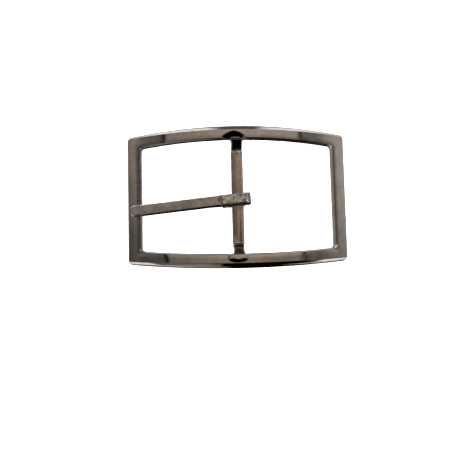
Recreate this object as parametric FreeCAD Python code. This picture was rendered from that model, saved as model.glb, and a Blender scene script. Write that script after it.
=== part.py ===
"""Belt buckle: a bowed rectangular surround, a dropped centre bar and a prong that swings on the bar.

Units are millimetres. X runs along the buckle, Y across the strap, Z out through the front face.
The origin is on the surface that the buckle lies on, below its centre.

The surround is described in bow coordinates: u is the distance along the bow from the middle,
v is Y, and w is the height above the back surface, measured square to it.
"""

import FreeCAD, Part
import math
import os

from FreeCAD import Vector

# Surround
HALF_LENGTH = 39.5       # along the bow, at the back edge
HALF_WIDTH_END = 22.8    # across, at the two ends
HALF_WIDTH_MIDDLE = 25.3  # across, at the middle of the arched long rails
BOW_RADIUS = 110.0       # of the back surface
THICKNESS = 2.4
OUTER_WALL_RUN = 1.9     # how far the long outer wall leans in from back to face
OUTER_END_RUN = 1.1      # the same at the two ends
FACE_WIDTH_LONG = 2.9    # flat face of the two long rails
FACE_WIDTH_END = 3.2     # flat face of the two end rails
INNER_WALL_RUN = 0.55    # how far the long inner wall leans out from face to back
INNER_END_RUN = 1.0
BEVEL_SHARE = 0.55       # share of each wall's run that the bevel beside the face takes
BEVEL_DEPTH = 0.75
OUTER_CORNER_RADIUS = 1.6
INNER_CORNER_RADIUS = 1.2

# Centre bar
BAR_WIDTH = 3.9
BAR_THICKNESS = 3.2
BAR_TOP = 6.1
BAR_HALF_LENGTH = 16.9   # of the straight body, between the two necks
BAR_END_ROUND = 0.5
NECK_WIDTH = 3.2
NECK_THICKNESS = 2.3
NECK_FLARE_WIDTH = 7.0   # where the neck runs into the rail
NECK_CREST = 20.3        # distance from the middle at which the neck drops from the rail's face

# Prong
PRONG_WIDTH = 3.75
PRONG_YAW = 5.5          # degrees, the skew that the loose loop lets the prong take
PRONG_SIDE_STEP = -0.7   # where the prong sits along the bar
TONGUE_THICKNESS = 2.2
TONGUE_REACH = 38.1      # from the bar's axis to the tip
TIP_DROP = 0.5           # how much lower the top of the rounded tip is
SHOULDER = 5.7           # from the bar's axis to the bend where tongue meets loop
STRIP_THICKNESS = 1.45   # of the loop
LOOP_CLEARANCE = 0.1     # between the loop's flat sides and the bar's widest radius
LOOP_FRONT = 3.15        # inner end of the loop, away from the tongue
LOOP_BACK = 4.2          # inner end of the loop, under the tongue
LOOP_BEND = 2.2          # outer radius of the loop's bends
HOOK_GAP = 0.25          # seam between the hook's end and the tongue
REST_GAP = 0.1           # between the tongue and the rail that it rests on
EDGE_ROUND = 0.35

BOW_END = HALF_LENGTH / BOW_RADIUS
BOW_CENTRE_Z = -BOW_RADIUS * math.cos(BOW_END)
FACE_TOP = BOW_CENTRE_Z + BOW_RADIUS + THICKNESS
BAR_AXIS_Z = BAR_TOP - BAR_THICKNESS / 2
ARCH_RISE = HALF_WIDTH_MIDDLE - HALF_WIDTH_END
ARCH_RADIUS = (HALF_LENGTH ** 2 + ARCH_RISE ** 2) / (2 * ARCH_RISE)
STATIONS = 9
OVERLAP = 1.0            # how far cutting shapes run past what they cut


def bow_point(u, v, w):
    """A point given in bow coordinates."""
    angle = u / BOW_RADIUS
    radius = BOW_RADIUS + w
    return Vector(radius * math.sin(angle), v, BOW_CENTRE_Z + radius * math.cos(angle))


def arch(u, inset):
    """Half the surround's width at u, on the arch drawn inset inside the outer edge."""
    return math.sqrt((ARCH_RADIUS - inset) ** 2 - u ** 2) - (ARCH_RADIUS - HALF_WIDTH_MIDDLE)


def wall_lines(run):
    """The two straight lines down a wall that leans by run: the steep part, then the bevel by the face.

    Each line is a pair of (inset, w) points that run past the back and the face.
    """
    bevel = run * BEVEL_SHARE
    steep_slope = (run - bevel) / (THICKNESS - BEVEL_DEPTH)
    bevel_slope = bevel / BEVEL_DEPTH
    lines = []
    for slope, face_inset in ((steep_slope, steep_slope * THICKNESS), (bevel_slope, run)):
        low = face_inset - slope * (THICKNESS + OVERLAP)
        high = face_inset + slope * OVERLAP
        lines.append([(low, -OVERLAP), (high, THICKNESS + OVERLAP)])
    return lines


def polygon(points):
    return Part.makePolygon(points + points[:1])


def end_wall_block(first_inset, line):
    """Everything between two flat end walls, each following a line in bow coordinates."""
    out = Vector(math.cos(BOW_END), 0, -math.sin(BOW_END))
    up = Vector(math.sin(BOW_END), 0, math.cos(BOW_END))
    foot = bow_point(HALF_LENGTH, 0, 0)
    low, high = [foot - out * (first_inset + inset) + up * w for inset, w in line]
    lean = (high - low) * (1 / (high.z - low.z))
    low = low - lean * (low.z + 3 * OVERLAP)
    high = high + lean * (FACE_TOP + 3 * OVERLAP - high.z)
    corners = [low, high, Vector(-high.x, 0, high.z), Vector(-low.x, 0, low.z)]
    face = Part.Face(polygon(corners))
    face.translate(Vector(0, -1.5 * HALF_WIDTH_MIDDLE, 0))
    return face.extrude(Vector(0, 3 * HALF_WIDTH_MIDDLE, 0))


def long_wall_block(first_inset, line):
    """Everything between two arched long walls, lofted through sections square to the bow."""
    sections = []
    reach = HALF_LENGTH + 3 * OVERLAP
    for i in range(STATIONS):
        u = reach * (2 * i / (STATIONS - 1) - 1)
        side = [(arch(u, first_inset + inset), w) for inset, w in line]
        ring = [bow_point(u, v, w) for v, w in side]
        ring += [bow_point(u, -v, w) for v, w in reversed(side)]
        sections.append(polygon(ring))
    return Part.makeLoft(sections, True, False)


def corner_edges(block):
    """The four edges where a long wall meets an end wall: the only short ones that climb."""
    return [e for e in block.Edges if e.Length < HALF_WIDTH_END / 2 and e.BoundBox.ZLength > OVERLAP]


def rounded_block(long_inset, end_inset, long_line, end_line, radius):
    block = long_wall_block(long_inset, long_line).common(end_wall_block(end_inset, end_line))
    return block.makeFillet(radius, corner_edges(block))


def window_line(line):
    """The same line for an inner wall, which leans the other way and is measured from its foot."""
    return [(-inset, w) for inset, w in line]


def make_frame():
    """The cast surround: four rails in one ring, bowed and bevelled."""
    long_lines = wall_lines(OUTER_WALL_RUN)
    end_lines = wall_lines(OUTER_END_RUN)
    steep, bevel = [rounded_block(0, 0, long_line, end_line, OUTER_CORNER_RADIUS)
                    for long_line, end_line in zip(long_lines, end_lines)]
    start = Vector(0, -1.5 * HALF_WIDTH_MIDDLE, BOW_CENTRE_Z)
    along = Vector(0, 1, 0)
    length = 3 * HALF_WIDTH_MIDDLE
    slab = Part.makeCylinder(BOW_RADIUS + THICKNESS, length, start, along)
    slab = slab.cut(Part.makeCylinder(BOW_RADIUS, length, start, along))
    ring = steep.common(bevel).common(slab)
    long_foot = OUTER_WALL_RUN + FACE_WIDTH_LONG + INNER_WALL_RUN
    end_foot = OUTER_END_RUN + FACE_WIDTH_END + INNER_END_RUN
    for long_line, end_line in zip(wall_lines(INNER_WALL_RUN), wall_lines(INNER_END_RUN)):
        window = rounded_block(long_foot, end_foot, window_line(long_line), window_line(end_line),
                               INNER_CORNER_RADIUS)
        ring = ring.cut(window)
    return ring


def bar_section(y, width, thickness, top):
    """A flat-sided oval across the bar at y."""
    edge = thickness / 2
    flat = max(width / 2 - edge, 0.05)
    middle = top - edge
    bottom = top - thickness
    left_top, right_top = Vector(-flat, y, top), Vector(flat, y, top)
    left_bottom, right_bottom = Vector(-flat, y, bottom), Vector(flat, y, bottom)
    return Part.Wire([
        Part.LineSegment(left_top, right_top).toShape(),
        Part.Arc(right_top, Vector(flat + edge, y, middle), right_bottom).toShape(),
        Part.LineSegment(right_bottom, left_bottom).toShape(),
        Part.Arc(left_bottom, Vector(-flat - edge, y, middle), left_top).toShape(),
    ])


def make_neck(side):
    """One neck, side +1 or -1: it climbs from the bar's end to the rail and flares into it."""
    drop = FACE_TOP - BAR_TOP
    climb = NECK_CREST - BAR_HALF_LENGTH
    sections = [bar_section(side * (BAR_HALF_LENGTH - OVERLAP), NECK_WIDTH, NECK_THICKNESS, BAR_TOP - 0.3)]
    for share, flare in ((0.0, 0.0), (0.35, 0.0), (0.7, 0.12), (0.9, 0.45), (1.0, 0.8)):
        width = NECK_WIDTH + (NECK_FLARE_WIDTH - NECK_WIDTH) * flare
        top = BAR_TOP - 0.3 + (drop + 0.3) * share
        sections.append(bar_section(side * (BAR_HALF_LENGTH + climb * share), width, NECK_THICKNESS, top))
    end = side * (NECK_CREST + OVERLAP)
    sections.append(bar_section(end, NECK_FLARE_WIDTH, NECK_THICKNESS, FACE_TOP))
    return Part.makeLoft(sections, True, True)


def make_centre_bar(surround):
    """The centre bar: an oval body, rounded at its ends, between two necks that meet the rails."""
    body = Part.Face(bar_section(-BAR_HALF_LENGTH, BAR_WIDTH, BAR_THICKNESS, BAR_TOP))
    body = body.extrude(Vector(0, 2 * BAR_HALF_LENGTH, 0))
    ends = [e for e in body.Edges if abs(e.CenterOfMass.y) > BAR_HALF_LENGTH - 0.01]
    body = body.makeFillet(BAR_END_ROUND, ends)
    bar = body.fuse([make_neck(1), make_neck(-1)])
    return bar.cut(surround).removeSplitter()


def arc_corner(before, corner, after, radius):
    """The tangent arc of that radius at a corner, as (start, middle, end)."""
    to_before = (before - corner).normalize()
    to_after = (after - corner).normalize()
    half = to_before.getAngle(to_after) / 2
    setback = radius / math.tan(half)
    bisector = (to_before + to_after).normalize()
    centre = corner + bisector * (radius / math.sin(half))
    return corner + to_before * setback, centre - bisector * radius, corner + to_after * setback


def rounded_wire(corners):
    """A closed wire through (point, radius) corners, with a tangent arc wherever a radius is given."""
    edges = []
    ends = []
    count = len(corners)
    for i, (point, radius) in enumerate(corners):
        if radius:
            before, after = corners[i - 1][0], corners[(i + 1) % count][0]
            ends.append(arc_corner(before, point, after, radius))
        else:
            ends.append((point, None, point))
    for i, (start, middle, end) in enumerate(ends):
        if middle is not None:
            edges.append(Part.Arc(start, middle, end).toShape())
        following = ends[(i + 1) % count][0]
        edges.append(Part.LineSegment(end, following).toShape())
    return Part.Wire(edges)


def tongue_slope():
    """Drop per unit length of the tongue, set by the rail that its underside lies on."""
    rest_u = HALF_LENGTH - OUTER_END_RUN - FACE_WIDTH_END
    rest = bow_point(-rest_u, 0, THICKNESS)
    root_under = BAR_AXIS_Z + BAR_WIDTH / 2 + LOOP_CLEARANCE + STRIP_THICKNESS - TONGUE_THICKNESS
    return (root_under - rest.z - REST_GAP) / (-rest.x - SHOULDER)


def prong_side():
    """The prong's side view about the bar's axis: the tongue, the loop and the hook's closed end."""
    inner = BAR_WIDTH / 2 + LOOP_CLEARANCE
    outer = inner + STRIP_THICKNESS
    root_under = outer - TONGUE_THICKNESS
    length = TONGUE_REACH - SHOULDER + OVERLAP
    end = -SHOULDER - length
    end_under = root_under - tongue_slope() * length
    end_top = end_under + TONGUE_THICKNESS - TIP_DROP
    hook_top = root_under - HOOK_GAP
    bend_in = LOOP_BEND - STRIP_THICKNESS
    hook_outer = -LOOP_BACK - STRIP_THICKNESS
    outline = [
        ((end, end_under), 0.0),
        ((-SHOULDER, root_under), 0.0),
        ((-LOOP_BACK, root_under), 0.3),
        ((-LOOP_BACK, inner), bend_in / 2),
        ((LOOP_FRONT, inner), bend_in),
        ((LOOP_FRONT, -inner), bend_in),
        ((-LOOP_BACK, -inner), bend_in),
        ((-LOOP_BACK, hook_top), 0.3),
        ((hook_outer, hook_top), 0.3),
        ((hook_outer, -outer), LOOP_BEND),
        ((LOOP_FRONT + STRIP_THICKNESS, -outer), LOOP_BEND),
        ((LOOP_FRONT + STRIP_THICKNESS, outer), LOOP_BEND),
        ((-SHOULDER, outer), 0.0),
        ((end, end_top), 0.0),
    ]
    return rounded_wire([(Vector(x, 0, z), radius) for (x, z), radius in outline])


def make_prong():
    """The prong: one strip with a rounded tip, curled into a loop round the bar."""
    half = PRONG_WIDTH / 2
    blank = Part.Face(prong_side())
    blank.translate(Vector(0, -half, 0))
    blank = blank.extrude(Vector(0, PRONG_WIDTH, 0))
    round_start = -TONGUE_REACH + half
    rear = LOOP_FRONT + STRIP_THICKNESS + OVERLAP
    near_tip, far_tip = Vector(round_start, -half, 0), Vector(round_start, half, 0)
    near_rear, far_rear = Vector(rear, -half, 0), Vector(rear, half, 0)
    plan = Part.Wire([
        Part.LineSegment(near_rear, near_tip).toShape(),
        Part.Arc(near_tip, Vector(-TONGUE_REACH, 0, 0), far_tip).toShape(),
        Part.LineSegment(far_tip, far_rear).toShape(),
        Part.LineSegment(far_rear, near_rear).toShape(),
    ])
    plan_block = Part.Face(plan)
    plan_block.translate(Vector(0, 0, -2 * BAR_WIDTH))
    plan_block = plan_block.extrude(Vector(0, 0, 4 * BAR_WIDTH))
    prong = blank.common(plan_block)
    prong = prong.makeFillet(EDGE_ROUND, tongue_top_edges(prong))
    prong.rotate(Vector(0, 0, 0), Vector(0, 0, 1), PRONG_YAW)
    prong.translate(Vector(0, PRONG_SIDE_STEP, BAR_AXIS_Z))
    return prong


def tongue_top_edges(prong):
    """The two long edges and the rounded end of the tongue's top."""
    tops = [f for f in prong.Faces if f.BoundBox.XMax < -SHOULDER + 0.01 and f.normalAt(0, 0).z > 0.9]
    top = max(tops, key=lambda f: f.CenterOfMass.z)
    return [e for e in top.Edges if e.BoundBox.XLength > 0.1]


def export(name, shape):
    solids = shape.Solids
    assert shape.isValid() and len(solids) == 1, name
    solids[0].exportStep(os.path.join("parts", name + ".step"))
    box = solids[0].optimalBoundingBox()
    print(f"{name}: {solids[0].Volume:.1f} mm3, x {box.XMin:.2f} {box.XMax:.2f},"
          f" y {box.YMin:.2f} {box.YMax:.2f}, z {box.ZMin:.2f} {box.ZMax:.2f}")


os.makedirs("parts", exist_ok=True)
frame_shape = make_frame()
export("buckle_frame", frame_shape)
export("centre_bar", make_centre_bar(frame_shape))
export("prong", make_prong())
print(f"bar axis z {BAR_AXIS_Z:.3f}, face top z {FACE_TOP:.3f}, tongue slope {tongue_slope():.4f}")
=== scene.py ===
"""Looks of the belt buckle: a polished dark-nickel frame, its dropped centre bar, and the curled prong."""

import math

import bpy
import numpy as np
from mathutils import Matrix, Vector


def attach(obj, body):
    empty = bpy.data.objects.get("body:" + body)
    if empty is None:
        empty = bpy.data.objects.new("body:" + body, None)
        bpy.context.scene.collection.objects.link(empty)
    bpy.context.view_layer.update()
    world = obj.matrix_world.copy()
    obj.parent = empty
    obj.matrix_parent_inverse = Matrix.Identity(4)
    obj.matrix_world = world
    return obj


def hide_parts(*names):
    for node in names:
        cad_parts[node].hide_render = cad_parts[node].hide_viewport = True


MM = 0.001
PLAIN_REFLECTANCE = 0.42

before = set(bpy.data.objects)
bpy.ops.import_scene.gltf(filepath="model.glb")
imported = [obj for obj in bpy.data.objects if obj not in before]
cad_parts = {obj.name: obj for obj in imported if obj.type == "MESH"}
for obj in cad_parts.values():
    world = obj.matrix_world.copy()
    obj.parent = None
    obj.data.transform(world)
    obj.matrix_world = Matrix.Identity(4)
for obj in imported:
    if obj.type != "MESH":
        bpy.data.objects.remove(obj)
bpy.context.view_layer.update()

# Frame, in millimetres, as in the CAD source
HALF_LENGTH = 39.5
HALF_WIDTH_END = 22.8
HALF_WIDTH_MIDDLE = 25.3
BOW_RADIUS = 110.0
THICKNESS = 2.4
OUTER_RUN_MIDDLE = 1.9
OUTER_RUN_CORNER = 1.15
OUTER_RUN_END = 1.1
INNER_EDGE_MIDDLE = 4.9
INNER_EDGE_CORNER = 4.75
INNER_EDGE_END = 4.6
INNER_RUN_LONG = 0.5
INNER_RUN_END = 0.82
BEVEL_SHARE = 0.55
BEVEL_DEPTH = 0.75
OUTER_FOOT_RADIUS = 1.6
OUTER_FACE_RADIUS = 1.0
INNER_FOOT_RADIUS = 1.2
INNER_FACE_RADIUS = 2.0
FACE_STEPS = 22
LONG_STEPS = 300
END_STEPS = 110
CORNER_STEPS = 14
LONG_ROLL = (0.07, 0.5)   # the face's fall at its inner edge, and the share of its width where it starts
END_ROLL = (0.02, 0.8)

BOW_END = HALF_LENGTH / BOW_RADIUS
BOW_CENTRE_Z = -BOW_RADIUS * math.cos(BOW_END)
FACE_TOP = BOW_CENTRE_Z + BOW_RADIUS + THICKNESS
ARCH_RISE = HALF_WIDTH_MIDDLE - HALF_WIDTH_END
ARCH_RADIUS = (HALF_LENGTH ** 2 + ARCH_RISE ** 2) / (2 * ARCH_RISE)

# Casting marks where the bar joins the long rails
FAR_DENT_X = -1.2
FAR_DENT_Y = 20.5
FAR_DENT_REACH = 2.55
FAR_DENT_HALF = 4.4
FAR_DENT_SLOPE = 0.34
DENT_POWER = 1.5          # below 2, the dent's outline tapers toward its ends
DENT_EASE = 0.12
LEDGE_REACH = 0.35        # level strip between the dent and the rail's inner edge
LEDGE_SHIFT = 0.6
LEDGE_HALF = 1.9
NEAR_SWELL_X = -0.7
NEAR_SWELL_Y = -21.95
NEAR_SWELL_REACH = 1.35
NEAR_SWELL_HALF = 3.5
NEAR_SWELL_SLOPE = 0.24
SWELL_EASE = 0.1

# Bar and prong
BAR_HALF_WIDTH = 2.03
BAR_X = -0.08
BAR_FACET_DROP = 0.4
BAR_TOP = 6.1
BAR_BOTTOM = 2.9
BAR_AXIS_Z = 4.5
BAR_HALF_LENGTH = 16.9
BAR_END_ROUND = 0.9
BAR_EDGE = 0.42
BAR_RIDGE_X = -0.45
BAR_TOP_POINTS = 37
BAR_STEPS = 70
BAR_END_STEPS = 9
BAR_GROOVE_DEPTH = 0.06
NECK_HALF_WIDTH = 1.93
NECK_THICKNESS = 2.2
NECK_TOP = 5.25
NECK_START = 16.2
NECK_FOOT = 17.1
NECK_CREST = 20.5
NECK_END = 21.2
NECK_FILLET = 1.5
NECK_EDGE = 0.4
NECK_STEPS = 30
FAR_NECK_TOP = FACE_TOP - 1.3
NEAR_NECK_TOP = FACE_TOP - 1.1
PRONG_HALF_WIDTH = 1.875
PRONG_YAW = math.radians(5.5)
PRONG_SIDE_STEP = -0.76
TONGUE_REACH = 38.1
TONGUE_SLOPE = 0.0671
TONGUE_THICKNESS = 2.2
FAR_DRAFT = 0.08          # how far each side of the strip leans out, top to bottom
NEAR_DRAFT = 0.46
BEND_BULGE = 0.13         # how far the strip's sides stand out where it is bent
SHOULDER = 5.7            # where the tongue meets the loop, from the bar's axis
LOOP_INSIDE = 2.05        # half height of the loop's opening, and of its outside
LOOP_OUTSIDE = 3.5


def smooth(low, high, value):
    """An eased step from 0 at low to 1 at high."""
    t = np.clip((np.asarray(value, float) - low) / (high - low), 0, 1)
    return t * t * (3 - 2 * t)


def bow(u, v, w):
    """Points given along the bow, across it and above its back surface."""
    radius = BOW_RADIUS + w
    return np.stack([radius * np.sin(u / BOW_RADIUS), v, BOW_CENTRE_Z + radius * np.cos(u / BOW_RADIUS)], -1)


def arch(u, inset):
    """How far from the middle line the arched rail's outline is, moved in by inset."""
    return np.sqrt((ARCH_RADIUS - inset) ** 2 - u ** 2) - (ARCH_RADIUS - HALF_WIDTH_MIDDLE)


def round_corner(before, corner, after, radius, steps):
    """Points of a tangent arc at a corner, with a weight that is 1 at the middle of the arc."""
    to_before, to_after = before - corner, after - corner
    to_before /= np.linalg.norm(to_before)
    to_after /= np.linalg.norm(to_after)
    half = math.acos(np.clip(to_before @ to_after, -1, 1)) / 2
    bisector = to_before + to_after
    bisector /= np.linalg.norm(bisector)
    centre = corner + bisector * radius / math.sin(half)
    start = corner + to_before * radius / math.tan(half) - centre
    end = corner + to_after * radius / math.tan(half) - centre
    turn = math.atan2(start[0] * end[1] - start[1] * end[0], start @ end)
    points, weights = [], []
    for i in range(steps + 1):
        share = i / steps
        c, s = math.cos(turn * share), math.sin(turn * share)
        points.append(centre + np.array([start[0] * c - start[1] * s, start[0] * s + start[1] * c]))
        weights.append(math.sin(math.pi * share))
    return points, weights


def section(outer_run, inner_edge, inner_run, roll, roll_start):
    """The rail's outline as (inset, height) points, and how much each point is painted paler at the rail's
    edges.
    """
    bevel = outer_run * BEVEL_SHARE
    inner_bevel = inner_run * BEVEL_SHARE
    shoulder = THICKNESS - BEVEL_DEPTH
    foot = inner_edge + inner_run
    corners = [
        ((0.0, 0.0), 0.28, 6, 0.3),
        ((outer_run - bevel, shoulder), 0.7, 5, 0.1),
        ((outer_run, THICKNESS), 0.25, 7, 0.8),
        ((inner_edge, THICKNESS - roll), 0.35, 8, 0.8),
        ((inner_edge + inner_bevel, shoulder), 0.9, 5, 0.1),
        ((foot, 0.0), 0.28, 6, 0.3),
    ]
    spots = [np.array(c[0]) for c in corners]
    points, wear_and_highlight = [], []
    for i, (_, radius, steps, pale_share) in enumerate(corners):
        arc, weights = round_corner(spots[i - 1], spots[i], spots[(i + 1) % 6], radius, steps)
        if i == 3:
            start, end = points[-1], arc[0]
            for share in np.linspace(0, 1, FACE_STEPS + 1)[1:-1]:
                fall = roll * max(share - roll_start, 0) ** 2 / (1 - roll_start) ** 2
                points.append(np.array([start[0] + (end[0] - start[0]) * share, THICKNESS - fall]))
                wear_and_highlight.append(0.0)
        points += arc
        wear_and_highlight += [pale_share * x for x in weights]
    return np.array(points), np.array(wear_and_highlight)


def fillet_curve(a, a_dir, b, b_dir, steps):
    """A smooth corner from a to b with those end directions."""
    turn = math.acos(np.clip(a_dir @ b_dir, -1, 1))
    reach = np.linalg.norm(b - a) / (2 * math.sin(turn / 2)) * 4 / 3 * math.tan(turn / 4)
    p1, p2 = a + a_dir * reach, b - b_dir * reach
    t = np.linspace(0, 1, steps + 1)[:, None]
    return (1 - t) ** 3 * a + 3 * (1 - t) ** 2 * t * p1 + 3 * (1 - t) * t ** 2 * p2 + t ** 3 * b



def quarter_loop(middle, corner, end, radius):
    """One profile point carried from the middle of a long rail to the middle of an end rail."""
    end_u = HALF_LENGTH - end[0]
    setback = radius * 0.88
    t = np.linspace(0, 1, LONG_STEPS // 2 + 1)
    u = (end_u - setback) * (0.72 * t + 0.28 * t ** 2)
    share = (u / HALF_LENGTH) ** 2
    inset = middle[0] + (corner[0] - middle[0]) * share
    height = middle[1] + (corner[1] - middle[1]) * share
    v = arch(u, inset)
    slope = (v[-1] - v[-2]) / (u[-1] - u[-2])
    a = np.array([u[-1], v[-1]])
    a_dir = np.array([1, slope]) / math.hypot(1, slope)
    b = np.array([end_u, v[-1] + slope * setback - setback])
    bend = fillet_curve(a, a_dir, b, np.array([0.0, -1.0]), CORNER_STEPS)
    side_v = np.linspace(b[1], 0, END_STEPS // 2 + 1)
    side = np.stack([np.full(len(side_v), end_u), side_v], -1)
    uv = np.concatenate([np.stack([u, v], -1), bend[1:], side[1:]])
    corner_height = height[-1] + (end[1] - height[-1]) * smooth(0, 1, np.linspace(0, 1, CORNER_STEPS + 1)[1:])
    w = np.concatenate([height, corner_height, np.full(len(side_v) - 1, end[1])])
    return uv, w


def full_loop(uv, w):
    """A quarter mirrored into the whole ring, without repeated points."""
    right = np.concatenate([uv, (uv * [1, -1])[::-1][1:]])
    right_w = np.concatenate([w, w[::-1][1:]])
    ring = np.concatenate([right, (right * [-1, 1])[::-1][1:-1]])
    return ring, np.concatenate([right_w, right_w[::-1][1:-1]])


def dome(x, centre, half, power=2.0):
    """1 at the centre, falling to 0 at half the width on each side."""
    return np.clip(1 - np.abs((x - centre) / half) ** power, 0, 1) ** (1 / power)


def soft_ramp(value, ease):
    """Zero below zero, then rising one for one, eased over a short length."""
    value = np.asarray(value, float)
    return np.where(value <= 0, 0, np.where(value < ease, value ** 2 / (2 * ease), value - ease / 2))


def far_sink_mark(x, y):
    """The dent where the far rail meets the bar's neck, with a level ledge beside the inner edge."""
    rim = FAR_DENT_Y + FAR_DENT_REACH * dome(x, FAR_DENT_X, FAR_DENT_HALF, DENT_POWER)
    floor = FAR_DENT_Y + LEDGE_REACH * dome(x, FAR_DENT_X + LEDGE_SHIFT, LEDGE_HALF)
    return -FAR_DENT_SLOPE * soft_ramp(rim - np.maximum(y, floor), DENT_EASE)


def near_swell(x, y):
    """The swelling at the near rail: level by the neck, then falling to a bowed line near the outer edge."""
    foot = NEAR_SWELL_Y - NEAR_SWELL_REACH * dome(x, NEAR_SWELL_X, NEAR_SWELL_HALF)
    brink = NEAR_SWELL_Y + 0.3 * (dome(x, NEAR_SWELL_X - 1.9, 1.3) + dome(x, NEAR_SWELL_X + 2.1, 1.2))
    return NEAR_SWELL_SLOPE * soft_ramp(np.minimum(y, brink) - foot, SWELL_EASE)


def make_mesh(name, points, faces, wear_and_highlight, grime_and_shade):
    """A smooth mesh that carries, at each point, how much paler it is painted (edge abrasion and painted
    highlights) and how much darker (dirt, painted shadow and shade, and a painted dark reflection).
    """
    mesh = bpy.data.meshes.new(name)
    mesh.from_pydata((np.asarray(points) * MM).tolist(), [], faces)
    mesh.shade_smooth()
    for label, values in (("wear_and_highlight", wear_and_highlight), ("grime_and_shade", grime_and_shade)):
        attribute = mesh.attributes.new(label, "FLOAT", "POINT")
        attribute.data.foreach_set("value", np.asarray(values, np.float32).ravel())
    piece = bpy.data.objects.new(name, mesh)
    bpy.context.scene.collection.objects.link(piece)
    return piece


def grid_faces(rows, columns, close_rows=True, close_columns=True):
    """Quads over a grid of points, joined round in either direction."""
    faces = []
    for i in range(rows if close_rows else rows - 1):
        for j in range(columns if close_columns else columns - 1):
            a, b = i * columns + j, i * columns + (j + 1) % columns
            c, d = ((i + 1) % rows) * columns + (j + 1) % columns, ((i + 1) % rows) * columns + j
            faces.append((a, b, c, d))
    return faces


def build_frame():
    """The surround: each point of the rail's section carried round the frame."""
    middle, wear_and_highlight = section(OUTER_RUN_MIDDLE, INNER_EDGE_MIDDLE, INNER_RUN_LONG, *LONG_ROLL)
    corner, _ = section(OUTER_RUN_CORNER, INNER_EDGE_CORNER, INNER_RUN_LONG, *LONG_ROLL)
    end, _ = section(OUTER_RUN_END, INNER_EDGE_END, INNER_RUN_END, *END_ROLL)
    inner_foot = INNER_EDGE_MIDDLE + INNER_RUN_LONG
    rings = []
    for k in range(len(middle)):
        inset, height = middle[k]
        lift = height / THICKNESS
        if inset < (OUTER_RUN_MIDDLE + INNER_EDGE_MIDDLE) / 2:
            rise = min(inset / OUTER_RUN_MIDDLE, 1)
            radius = OUTER_FOOT_RADIUS + (OUTER_FACE_RADIUS - OUTER_FOOT_RADIUS) * rise
        else:
            back = min((inner_foot - inset) / INNER_RUN_LONG, 1)
            radius = INNER_FOOT_RADIUS + (INNER_FACE_RADIUS - INNER_FOOT_RADIUS) * back
        if lift > 0.999 or (OUTER_RUN_MIDDLE < inset < INNER_EDGE_MIDDLE and lift > 0.5):
            share = np.clip((inset - OUTER_RUN_MIDDLE) / (INNER_EDGE_MIDDLE - OUTER_RUN_MIDDLE), 0, 1)
            radius = OUTER_FACE_RADIUS + (INNER_FACE_RADIUS - OUTER_FACE_RADIUS) * share
        uv, w = full_loop(*quarter_loop(middle[k], corner[k], end[k], radius))
        rings.append(bow(uv[:, 0], uv[:, 1], w))
    points = np.array(rings)
    x, y = points[..., 0], points[..., 1]
    face = smooth(-1.3, -0.3, points[..., 2] - FACE_TOP)
    points[..., 2] += face * np.where(y > 0, far_sink_mark(x, y), near_swell(x, y))
    inner_edge = np.array([INNER_EDGE_MIDDLE - 0.25 < inset < INNER_EDGE_MIDDLE + 0.4 for inset, _ in middle])
    # Painted darker along the rails' inner edge, a little everywhere and much more toward the left end, where
    # the paler edges are also held back.
    beside_ends = smooth(32, 34.5, np.abs(x))
    grime_and_shade = inner_edge[:, None] * (0.1 + 0.6 * beside_ends * (x < 0))
    pale_share = wear_and_highlight[:, None] * (1 - 0.8 * inner_edge[:, None] * beside_ends)
    rows, columns = points.shape[:2]
    return make_mesh("frame_body", points.reshape(-1, 3), grid_faces(rows, columns), pale_share, grime_and_shade)


def box_ring(half_width, top, bottom, radius):
    """A bar's section as (x, z): a flat top with many points, round corners, and a plain underside."""
    x = [np.linspace(-half_width + radius, half_width - radius, BAR_TOP_POINTS)]
    z = [np.full(BAR_TOP_POINTS, top)]
    quarters = ((1, 90), (1, 0), (-1, -90), (-1, -180))
    for side, start in quarters:
        turn = np.radians(start - np.arange(1, 8) * 90 / 8)
        level = top - radius if start in (90, -180) else bottom + radius
        x.append(side * (half_width - radius) + radius * np.cos(turn))
        z.append(level + radius * np.sin(turn))
    return np.concatenate(x), np.concatenate(z)


def bar_groove(x, y):
    """How deep the fine parting lines along the top of the bar are, from 0 to 1."""
    lower = np.clip(1.4 - np.abs(x - 0.66) / 0.2, 0, 1)
    lower *= smooth(-1.5, -15, y) * (1 - smooth(-16.2, -16.6, y))
    upper = np.clip(1.4 - np.abs(x + 0.12 + 0.3 * (y - 15.5)) / 0.17, 0, 1)
    upper *= smooth(13.8, 15.4, y)
    return np.maximum(lower, upper)


def bar_stations():
    """(y, half width, top, bottom) of the straight body, from its middle to its rounded end."""
    body_end = BAR_HALF_LENGTH - BAR_END_ROUND
    rows = [(y, BAR_HALF_WIDTH, BAR_TOP, BAR_BOTTOM) for y in np.linspace(0, body_end, BAR_STEPS)]
    for angle in np.linspace(0, math.pi / 2, BAR_END_STEPS)[1:]:
        drop = 1 - math.cos(angle)
        y = body_end + BAR_END_ROUND * math.sin(angle)
        rows.append((y, BAR_HALF_WIDTH - 0.45 * drop, BAR_TOP - 0.6 * drop, BAR_BOTTOM + 0.3 * drop))
    return rows


def neck_stations(top_end):
    """(y, half width, top, bottom) of a neck, from inside the body's end to inside the rail."""
    rows = []
    for share in np.linspace(0, 1, NECK_STEPS):
        y = NECK_START + (NECK_END - NECK_START) * share
        climb = np.clip((y - NECK_FOOT) / (NECK_CREST - NECK_FOOT), 0, 1)
        climb = 0.88 * climb + 0.12 * smooth(0, 1, climb)
        top = NECK_TOP + (top_end - NECK_TOP) * climb
        spread = np.clip((y - NECK_CREST + NECK_FILLET) / NECK_FILLET, 0, 0.98)
        half = NECK_HALF_WIDTH + NECK_FILLET * (1 - math.sqrt(1 - spread ** 2))
        rows.append((y, half, top, top - NECK_THICKNESS))
    return rows


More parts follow.
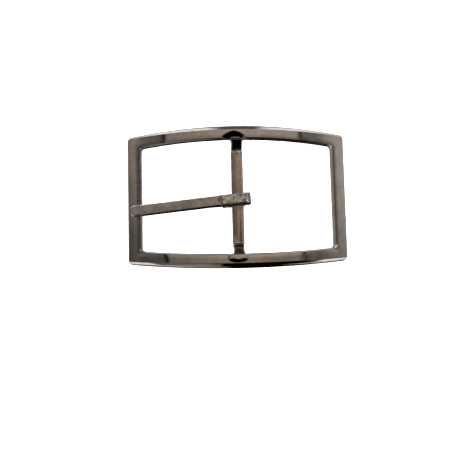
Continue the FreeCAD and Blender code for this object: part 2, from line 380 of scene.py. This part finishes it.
def loft(stations, radius):
    """A closed tube through the bar sections at the stations."""
    rings = []
    for y, half_width, top, bottom in stations:
        x, z = box_ring(half_width, top, bottom, radius)
        rings.append(np.stack([x + BAR_X, np.full(len(x), y), z], -1))
    points = np.array(rings)
    rows, columns = points.shape[:2]
    faces = grid_faces(rows, columns, close_rows=False)
    faces.append(tuple(range(columns)))
    faces.append(tuple(reversed(range((rows - 1) * columns, rows * columns))))
    return points, faces


def build_bar():
    """The bar's straight body and the two necks that climb to the long rails."""
    body = bar_stations()
    points, faces = loft([(-y, a, t, b) for y, a, t, b in reversed(body[1:])] + body, BAR_EDGE)
    x, y = points[..., 0], points[..., 1]
    columns = points.shape[1]
    top = np.arange(columns) < BAR_TOP_POINTS
    facet = np.clip((BAR_RIDGE_X - x) / (BAR_HALF_WIDTH + BAR_RIDGE_X), 0, 1)
    facet *= (1 - 0.7 * smooth(-13, -15.5, y)) * smooth(BAR_AXIS_Z, BAR_TOP - 0.5, points[..., 2])
    groove = bar_groove(x, y) * top
    points[..., 2] -= BAR_FACET_DROP * facet + BAR_GROOVE_DEPTH * groove
    # Painted shadow: a near-black band on the bar's top just beside the prong's loop, on its near side.
    loop_shadow = smooth(-3.2, -2.95, y) * (1 - smooth(-2.0, -1.7, y)) * (points[..., 2] > BAR_AXIS_Z)
    grime_and_shade = np.maximum(groove, loop_shadow)
    # Painted paler: the top's two corners as edge abrasion, and the last 1 mm at each end as a painted
    # highlight on the rounded end.
    edge = np.zeros(columns)
    edge[BAR_TOP_POINTS - 1:BAR_TOP_POINTS + 4] = 0.7
    edge[-4:] = 0.4
    wear_and_highlight = np.repeat(edge[None], len(points), 0)
    wear_and_highlight[np.abs(y) > BAR_HALF_LENGTH - 1.0] = 0.9
    all_points, all_faces = points.reshape(-1, 3), list(faces)
    all_wear_and_highlight, all_grime_and_shade = [wear_and_highlight.ravel()], [grime_and_shade.ravel()]
    for side, top_end in ((1, FAR_NECK_TOP), (-1, NEAR_NECK_TOP)):
        stations = [(side * y, a, t, b) for y, a, t, b in neck_stations(top_end)]
        neck, neck_faces = loft(stations if side > 0 else stations[::-1], NECK_EDGE)
        start = len(all_points)
        all_faces += [tuple(i + start for i in face) for face in neck_faces]
        all_points = np.concatenate([all_points, neck.reshape(-1, 3)])
        # Painted shade: the neck is painted near-black where it runs into the end of the bar's body.
        shade_beside_body = 1 - smooth(BAR_HALF_LENGTH + 0.35, BAR_HALF_LENGTH + 0.8, np.abs(neck[..., 1]))
        all_grime_and_shade.append(0.8 * shade_beside_body.ravel())
        all_wear_and_highlight.append(np.zeros(shade_beside_body.size))
    return make_mesh("bar_body", all_points, all_faces, np.concatenate(all_wear_and_highlight), np.concatenate(all_grime_and_shade))


def prong_outline():
    """The prong's side view about the bar's axis, as dense (x, z) points from under the tip."""
    inner, outer = LOOP_INSIDE, LOOP_OUTSIDE
    root_under = 1.3
    end = -TONGUE_REACH
    end_under = root_under - TONGUE_SLOPE * (TONGUE_REACH - SHOULDER)
    corners = [
        ((end, end_under), 0.5, 6), ((-SHOULDER, root_under), 1.5, 4), ((-4.2, root_under), 0.3, 5),
        ((-4.2, inner), 0.4, 5), ((3.15, inner), 0.75, 7), ((3.15, -inner), 0.75, 7),
        ((-4.2, -inner), 0.75, 7), ((-4.2, 1.05), 0.3, 5), ((-5.65, 1.05), 0.3, 5),
        ((-5.65, -outer), 2.2, 16), ((4.6, -outer), 2.2, 16), ((4.6, outer), 2.7, 24),
        ((-SHOULDER + 0.1, outer), 0.3, 6), ((-SHOULDER - 0.25, outer - 0.2), 0.3, 6),
        ((end, end_under + 1.72), 0.5, 8),
    ]
    spots = [np.array(c[0]) for c in corners]
    arcs = [round_corner(spots[i - 1], spots[i], spots[(i + 1) % len(spots)], radius, steps)[0]
            for i, (_, radius, steps) in enumerate(corners)]
    points = []
    for arc, following in zip(arcs, arcs[1:] + arcs[:1]):
        points += arc
        gap = following[0] - arc[-1]
        count = max(1, int(np.linalg.norm(gap) / 0.2))
        points += [arc[-1] + gap * i / count for i in range(1, count)]
    return np.array(points)


def outline_normals(points):
    """The outward direction at each point of a closed outline."""
    along = np.roll(points, -1, 0) - np.roll(points, 1, 0)
    along /= np.linalg.norm(along, axis=1)[:, None]
    return np.stack([along[:, 1], -along[:, 0]], -1)


def outline_top(x):
    """Height of the strip's top above the bar's axis."""
    return LOOP_OUTSIDE - TONGUE_SLOPE * np.maximum(-x - SHOULDER, 0)


def hammered(x, y):
    """Low bumps that the bending tool left on the loop's top, and two small dents from 0 to 1: a pit on the
    tongue, and a spot on the loop that is also painted dark as a reflection.
    """
    on_loop = smooth(-5.4, -4.6, x) * (1 - smooth(2.6, 3.6, x))
    waves = 0.06 * np.sin(2.1 * x + 0.6) + 0.045 * np.sin(3.4 * x - 1.1 * y + 2.0)
    waves += 0.025 * np.sin(2.5 * y + x)
    dark_reflection_dent = np.exp(-((x - 0.75) / 0.3) ** 2 - ((y - 0.95) / 0.38) ** 2)
    pit = np.exp(-((x + 6.8) / 0.28) ** 2 - ((y - 0.1) / 0.7) ** 2)
    return on_loop * waves, np.maximum(dark_reflection_dent, 0.8 * pit)


def build_prong():
    """The strip: its side view swept across its width, then turned and set on the bar."""
    outline = prong_outline()
    normals = outline_normals(outline)
    tip_centre = -TONGUE_REACH + PRONG_HALF_WIDTH
    reach = np.clip((tip_centre - outline[:, 0]) / (PRONG_HALF_WIDTH + 0.02), 0, 1)
    half = PRONG_HALF_WIDTH * np.sqrt(1 - reach ** 2)
    upper = smooth(0.6, 0.95, normals[:, 1]) * (outline[:, 1] > 0)
    top_size = 0.2 * upper * (outline[:, 0] < 3.0)
    below_top = np.clip((outline_top(outline[:, 0]) - outline[:, 1]) / TONGUE_THICKNESS, 0, 1)
    bulge = BEND_BULGE * np.exp(-((outline[:, 0] + SHOULDER) / 0.8) ** 2)
    quarter = [(1 - math.sin(a), 1 - math.cos(a)) for a in np.linspace(math.pi / 2, 0, 7)]
    flat = [0.86, 0.72, 0.5, 0.25]

    def side_rings(side, size, top_step, draft):
        """(y, drop) of each ring from one side wall to the strip's middle, and how worn each ring is."""
        edge = half * (1 + (draft * below_top - top_step) / PRONG_HALF_WIDTH) + bulge
        reach = edge - np.minimum(size, half)
        rings = [(side * edge, 1.35 * size)]
        rings += [(side * (edge - across * np.minimum(size, half)), drop * size) for across, drop in quarter]
        rings += [(side * reach * share, 0 * half) for share in flat]
        on_edge = [0.9 if 0.05 < drop < 0.9 else 0.0 for _, drop in quarter]
        # """(y, drop) of each ring from one side wall to the strip's middle, and how much paler each ring's
        # edge is painted."""
        return rings, [0.0] + on_edge + [0.0] * len(flat)

    far_rings, far_wear = side_rings(1, 0.2 + top_size, 0.0, FAR_DRAFT)
    near_rings, near_wear = side_rings(-1, 0.18 + 0.1 * top_size, 0.3, NEAR_DRAFT)
    rings = far_rings + [(0 * half, 0 * half)] + near_rings[::-1]
    wear_and_highlight = far_wear + [0.0] + near_wear[::-1]
    points, grime_and_shade = [], []
    for y, drop in rings:
        xz = outline - normals * drop[:, None]
        waves, pits = hammered(xz[:, 0], y)
        xz[:, 1] += (waves - 0.15 * pits) * upper
        points.append(np.stack([xz[:, 0], y, xz[:, 1]], -1))
        # Both dents are painted dark: the loop's spot as a painted dark reflection, the tongue's pit darkened
        # inside.
        grime_and_shade.append(pits * upper)
    points = np.array(points)
    rows, columns = points.shape[:2]
    faces = grid_faces(rows, columns, close_rows=False)
    faces.append(tuple(reversed(range(columns))))
    faces.append(tuple(range((rows - 1) * columns, rows * columns)))
    # Painted highlights: a pale line along the crease at the shoulder and a pale band round the loop's bend;
    # the loop's top is also painted a little paler than the tongue.
    crease_highlight = np.exp(-((outline[:, 0] + SHOULDER - 0.1) / 0.2) ** 2) * upper
    bend = smooth(2.3, 2.9, outline[:, 0]) * (1 - smooth(3.3, 3.9, outline[:, 0])) * upper
    paler_loop_top = 0.45 * smooth(-5.7, -5.2, outline[:, 0]) * upper
    along = np.maximum(np.maximum(crease_highlight, bend), paler_loop_top)
    pale_share = np.maximum(np.repeat(wear_and_highlight, columns), np.tile(along, rows))
    flat_points = points.reshape(-1, 3)
    c, s = math.cos(PRONG_YAW), math.sin(PRONG_YAW)
    x = flat_points[:, 0] * c - flat_points[:, 1] * s
    y = flat_points[:, 0] * s + flat_points[:, 1] * c
    turned = np.stack([x, y + PRONG_SIDE_STEP, flat_points[:, 2] + BAR_AXIS_Z], -1)
    return make_mesh("prong_strip", turned, faces, pale_share, grime_and_shade)


class Nodes:
    """Short calls for building a node tree."""

    def __init__(self, tree):
        self.tree = tree
        tree.nodes.clear()

    def add(self, kind, **settings):
        node = self.tree.nodes.new(kind)
        for key, value in settings.items():
            setattr(node, key, value)
        return node

    def link(self, source, target):
        self.tree.links.new(source, target)

    def math(self, operation, *values):
        node = self.add("ShaderNodeMath", operation=operation)
        for socket, value in zip(node.inputs, values):
            self.feed(socket, value)
        return node.outputs[0]

    def feed(self, socket, value):
        if isinstance(value, bpy.types.NodeSocket):
            self.link(value, socket)
        else:
            socket.default_value = value

    def step(self, value, low, high):
        node = self.add("ShaderNodeMapRange", interpolation_type="SMOOTHSTEP")
        for name, v in (("Value", value), ("From Min", low), ("From Max", high)):
            self.feed(node.inputs[name], v)
        return node.outputs[0]

    def band(self, value, low, high, soft):
        return self.math("MULTIPLY", self.step(value, low - soft, low + soft),
                         self.math("SUBTRACT", 1.0, self.step(value, high - soft, high + soft)))

    def mix(self, share, a, b):
        node = self.add("ShaderNodeMix", data_type="RGBA")
        self.feed(node.inputs[0], share)
        self.feed(node.inputs[6], a)
        self.feed(node.inputs[7], b)
        return node.outputs[2]

    def noise(self, scale, detail=3.0, roughness=0.55, vector=None):
        node = self.add("ShaderNodeTexNoise")
        node.inputs["Scale"].default_value = scale
        node.inputs["Detail"].default_value = detail
        node.inputs["Roughness"].default_value = roughness
        if vector is not None:
            self.link(vector, node.inputs["Vector"])
        return node.outputs["Fac"]

    def ramp(self, value, stops):
        node = self.add("ShaderNodeValToRGB")
        elements = node.color_ramp.elements
        while len(elements) < len(stops):
            elements.new(0.5)
        for element, (position, colour) in zip(elements, stops):
            element.position = position
            element.color = (*colour, 1)
        self.link(value, node.inputs[0])
        return node.outputs[0]


def metal(name, tint, rough, mottle, pits, edge_share, relief):
    """Polished dark nickel: cloudy tone, fine peel, scratches, pin-holes, near-black dirt with painted shadow
    and shade, and paler edges with painted highlights.
    """
    material = bpy.data.materials.new(name)
    material.use_nodes = True
    n = Nodes(material.node_tree)
    place = n.add("ShaderNodeTexCoord").outputs["Object"]
    wear_and_highlight = n.add("ShaderNodeAttribute", attribute_name="wear_and_highlight").outputs["Fac"]
    grime_and_shade = n.add("ShaderNodeAttribute", attribute_name="grime_and_shade").outputs["Fac"]
    cloud = n.noise(230.0, 4.0, 0.6, place)
    grain = n.noise(2400.0, 3.0, 0.65, place)
    stretch = n.add("ShaderNodeMapping")
    stretch.inputs["Scale"].default_value = (900.0, 9000.0, 900.0)
    stretch.inputs["Rotation"].default_value = (0.0, 0.0, 0.5)
    n.link(place, stretch.inputs["Vector"])
    scratch = n.noise(1.0, 2.0, 0.5, stretch.outputs[0])
    holes = n.add("ShaderNodeTexVoronoi", feature="F1")
    holes.inputs["Scale"].default_value = 1500.0
    n.link(place, holes.inputs["Vector"])
    sparse = n.step(n.math("MULTIPLY_ADD", wear_and_highlight, 0.06, n.noise(900.0, 1.0, 0.5, place)), 0.6, 0.66)
    pit = n.math("MULTIPLY", n.math("SUBTRACT", 1.0, n.step(holes.outputs["Distance"], 0.06, 0.22)), sparse)
    pit = n.math("MULTIPLY", pit, pits)
    dark = tuple(c * (1 - mottle) for c in tint)
    light = tuple(min(c * (1 + mottle), 1) for c in tint)
    body = n.mix(n.step(cloud, 0.36, 0.64), (*dark, 1), (*light, 1))
    body = n.mix(n.math("MULTIPLY", n.step(grain, 0.4, 0.68), 0.5), body, (*[c * 0.74 for c in tint], 1))
    # Painted paler from the wear_and_highlight attribute: edge abrasion, and painted highlights at the
    # prong's crease and bend and at the bar's ends.
    worn_and_highlit = n.math("MULTIPLY", wear_and_highlight, n.step(n.noise(600.0, 3.0, 0.6, place), 0.38, 0.62))
    body = n.mix(n.math("MULTIPLY", worn_and_highlit, edge_share), body, (0.93, 0.91, 0.88, 1))
    body = n.mix(pit, body, (0.03, 0.025, 0.02, 1))
    # Painted near-black from the grime_and_shade attribute: dirt in the bar's grooves and the prong's pit,
    # darkening along the frame's inner edge, painted shadow beside the prong's loop, painted shade where the
    # necks meet the bar, and a painted dark reflection on the loop.
    dark_grime_and_shade = n.math("MULTIPLY", grime_and_shade, n.step(n.noise(1300.0, 2.0, 0.5, place), 0.15, 0.5))
    body = n.mix(dark_grime_and_shade, body, (0.012, 0.01, 0.009, 1))
    shader = n.add("ShaderNodeBsdfPrincipled")
    shader.inputs["Metallic"].default_value = 1.0
    n.link(body, shader.inputs["Base Color"])
    spread = n.math("MULTIPLY_ADD", n.step(cloud, 0.3, 0.7), rough * 0.5, rough * 0.7)
    spread = n.math("MULTIPLY_ADD", n.step(scratch, 0.62, 0.75), rough * 0.5, spread)
    n.link(spread, shader.inputs["Roughness"])
    height = n.math("MULTIPLY_ADD", grain, 0.35, n.math("MULTIPLY", cloud, 0.9))
    height = n.math("SUBTRACT", height, n.math("MULTIPLY", n.step(scratch, 0.64, 0.74), 0.12))
    height = n.math("SUBTRACT", height, n.math("MULTIPLY", pit, 1.5))
    bump = n.add("ShaderNodeBump")
    bump.inputs["Strength"].default_value = 0.6
    bump.inputs["Distance"].default_value = relief
    n.link(height, bump.inputs["Height"])
    n.link(bump.outputs[0], shader.inputs["Normal"])
    output = n.add("ShaderNodeOutputMaterial")
    n.link(shader.outputs[0], output.inputs["Surface"])
    return material


def light(tone, warm=0.0):
    """A light colour from the 8-bit tone that the plain metal shows under it, warmer for a positive warm."""
    linear = (tone / 255) ** 2.2 / PLAIN_REFLECTANCE
    return (linear * (1 + warm), linear, linear * (1 - warm), 1)


def panel_row(n, across, stops):
    """Panels side by side: (direction from -1 on the left to 1 on the right, tone, warmth)."""
    return n.ramp(across, [((x + 1) / 2, light(tone, warm)[:3]) for x, tone, warm in stops])


def build_world():
    """A studio of soft panels: what the metal mirrors, and even white light for the floor."""
    world = bpy.data.worlds.new("studio")
    bpy.context.scene.world = world
    world.use_nodes = True
    world.cycles.sampling_method = "NONE"
    n = Nodes(world.node_tree)
    direction = n.add("ShaderNodeTexCoord").outputs["Generated"]
    split = n.add("ShaderNodeSeparateXYZ")
    n.link(direction, split.inputs[0])
    x, y, z = split.outputs
    drift = n.math("MULTIPLY_ADD", n.noise(9.0, 2.0, 0.5, direction), 0.04, -0.02)
    across = n.math("MULTIPLY_ADD", n.math("ADD", x, drift), 0.5, 0.5)

    # Overhead: broad panels with dark seams between them, brighter toward +Y
    far = panel_row(n, across, [
        (-1.0, 60, .02), (-0.93, 68, .03), (-0.80, 80, .04), (-0.70, 90, .06), (-0.66, 118, .08),
        (-0.60, 94, .03), (-0.50, 80, .03), (-0.484, 70, .02), (-0.472, 18, 0), (-0.460, 22, 0),
        (-0.446, 112, .06), (-0.30, 118, .1), (-0.05, 135, .12), (0.20, 136, .12), (0.45, 136, .1),
        (0.498, 124, .06),
        (0.512, 30, 0), (0.522, 34, 0), (0.536, 98, .03), (0.62, 94, .02), (0.70, 134, .05), (0.78, 148, .05),
        (0.86, 180, .05), (0.94, 84, .03), (1.0, 70, .03)])
    near = panel_row(n, across, [
        (-1.0, 50, .02), (-0.93, 60, .03), (-0.78, 58, .06), (-0.68, 66, .06), (-0.60, 62, .02),
        (-0.50, 70, .04), (-0.484, 66, .03), (-0.472, 18, 0), (-0.460, 22, 0), (-0.446, 92, .1),
        (-0.30, 98, .14),
        (-0.05, 114, .19), (0.12, 110, .21), (0.28, 98, .2), (0.48, 98, .16), (0.515, 80, .35),
        (0.54, 50, .5), (0.59, 90, .3), (0.62, 74, .05), (0.70, 92, .04), (0.77, 110, .03),
        (0.86, 150, .05), (0.94, 80, .03)])
    ceiling = n.mix(n.step(y, 0.02, 0.22), near, far)

    # Toward +Y: bright windows, with a dim gap straight ahead
    gap = n.band(x, -0.055, 0.19, 0.045)
    front = n.mix(n.step(z, -0.20, -0.50), light(225), light(135, .03))
    front = n.mix(gap, front, light(76, -.04))

    # Toward -Y: a large black screen, grey beside it, and a bright strip low down
    screen = n.band(x, -0.05, 0.46, 0.015)
    low_screen = n.band(x, 0.025, 0.46, 0.02)
    high_screen = n.band(x, -0.34, 0.50, 0.04)
    beside = panel_row(n, n.math("MULTIPLY_ADD", x, 0.5, 0.5), [
        (-1.0, 78, 0), (-0.40, 80, 0), (-0.20, 110, .06), (-0.08, 112, .1), (0.44, 60, .2), (0.60, 96, 0),
        (1.0, 90, 0)])
    beyond_screen = n.math("SUBTRACT", 1.0, n.band(x, -0.17, 0.31, 0.05))
    strip = n.math("MULTIPLY", n.band(z, -0.46, 0.0, 0.05), beyond_screen)
    dark = n.mix(n.step(z, -0.42, -0.52), screen, low_screen)
    dark = n.math("MULTIPLY", dark, n.step(z, -0.78, -0.64))
    back = n.mix(dark, n.mix(n.step(z, -0.5, -0.62), beside, light(96, .12)), light(9, .1))
    back = n.mix(strip, back, light(222))
    sides = n.mix(n.step(z, -0.15, 0.12), light(126, .04), light(100, .04))
    facing = n.mix(n.step(y, -0.06, 0.10), back, front)
    walls = n.mix(n.step(n.math("ABSOLUTE", x), 0.78, 0.9), facing, sides)

    # Straight down: the dim underside of the set, black below the screen
    under = n.math("MULTIPLY", n.band(x, -0.10, 0.46, 0.03), n.step(y, -0.07, -0.13))
    below = n.mix(under, light(110, .05), light(12, .1))
    walls = n.mix(n.step(z, -0.78, -0.88), walls, below)
    raised = n.math("MULTIPLY", n.step(y, -0.20, -0.32), high_screen)
    room = n.mix(n.step(z, 0.30, 0.42), walls, n.mix(raised, ceiling, light(9, .1)))

    rays = n.add("ShaderNodeLightPath")
    mirrored = n.add("ShaderNodeBackground")
    n.link(room, mirrored.inputs["Color"])
    even = n.add("ShaderNodeBackground")
    even.inputs["Color"].default_value = (1.0, 1.0, 1.0, 1)
    even.inputs["Strength"].default_value = 4.0
    choose = n.add("ShaderNodeMixShader")
    n.link(rays.outputs["Is Glossy Ray"], choose.inputs[0])
    n.link(even.outputs[0], choose.inputs[1])
    n.link(mirrored.outputs[0], choose.inputs[2])
    output = n.add("ShaderNodeOutputWorld")
    n.link(choose.outputs[0], output.inputs["Surface"])


def build_floor():
    """A pale sheet under the buckle."""
    size = 0.6
    mesh = bpy.data.meshes.new("floor")
    corners = [(-size, -size, 0), (size, -size, 0), (size, size, 0), (-size, size, 0)]
    mesh.from_pydata(corners, [], [(0, 1, 2, 3)])
    floor = bpy.data.objects.new("floor", mesh)
    bpy.context.scene.collection.objects.link(floor)
    floor.location.z = -0.0002
    material = bpy.data.materials.new("floor_paper")
    material.use_nodes = True
    shader = material.node_tree.nodes["Principled BSDF"]
    shader.inputs["Base Color"].default_value = (0.9, 0.9, 0.9, 1)
    shader.inputs["Roughness"].default_value = 0.95
    shader.inputs["Specular IOR Level"].default_value = 0.0
    mesh.materials.append(material)
    floor.visible_glossy = False


def build_camera():
    """The camera stands over the buckle's near side, a little to the left, and looks almost straight down."""
    tilt, pan, roll = -0.1076, 0.0469, 0.0187
    turn = Matrix.Rotation(roll, 3, "Z") @ Matrix.Rotation(pan, 3, "Y") @ Matrix.Rotation(tilt, 3, "X")
    back = turn.transposed()
    data = bpy.data.cameras.new("camera")
    data.sensor_width = 36.0
    data.lens = 57.753
    data.clip_start = 0.01
    camera = bpy.data.objects.new("camera", data)
    place = back @ Vector((-3.962, -9.543, 260.0)) * MM
    camera.matrix_world = Matrix.Translation(place) @ back.to_4x4()
    bpy.context.scene.collection.objects.link(camera)
    bpy.context.scene.camera = camera


def dress(piece, body, node, material):
    """Give a piece its material, and say which body it rides and which node it replaces."""
    piece.data.materials.append(material)
    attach(piece, body)
    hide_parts(node)


build_camera()
build_world()
build_floor()
frame_metal = metal("frame_nickel", (0.42, 0.38, 0.345), 0.045, 0.09, 0.6, 0.22, 4e-6)
prong_metal = metal("prong_nickel", (0.34, 0.315, 0.29), 0.08, 0.26, 0.95, 0.9, 14e-6)
bar_metal = metal("bar_nickel", (0.33, 0.275, 0.235), 0.10, 0.18, 0.7, 0.6, 14e-6)
dress(build_frame(), "buckle", "buckle_frame", frame_metal)
dress(build_bar(), "buckle", "centre_bar", bar_metal)
dress(build_prong(), "prong", "prong", prong_metal)
bpy.context.scene.view_settings.view_transform = "Standard"
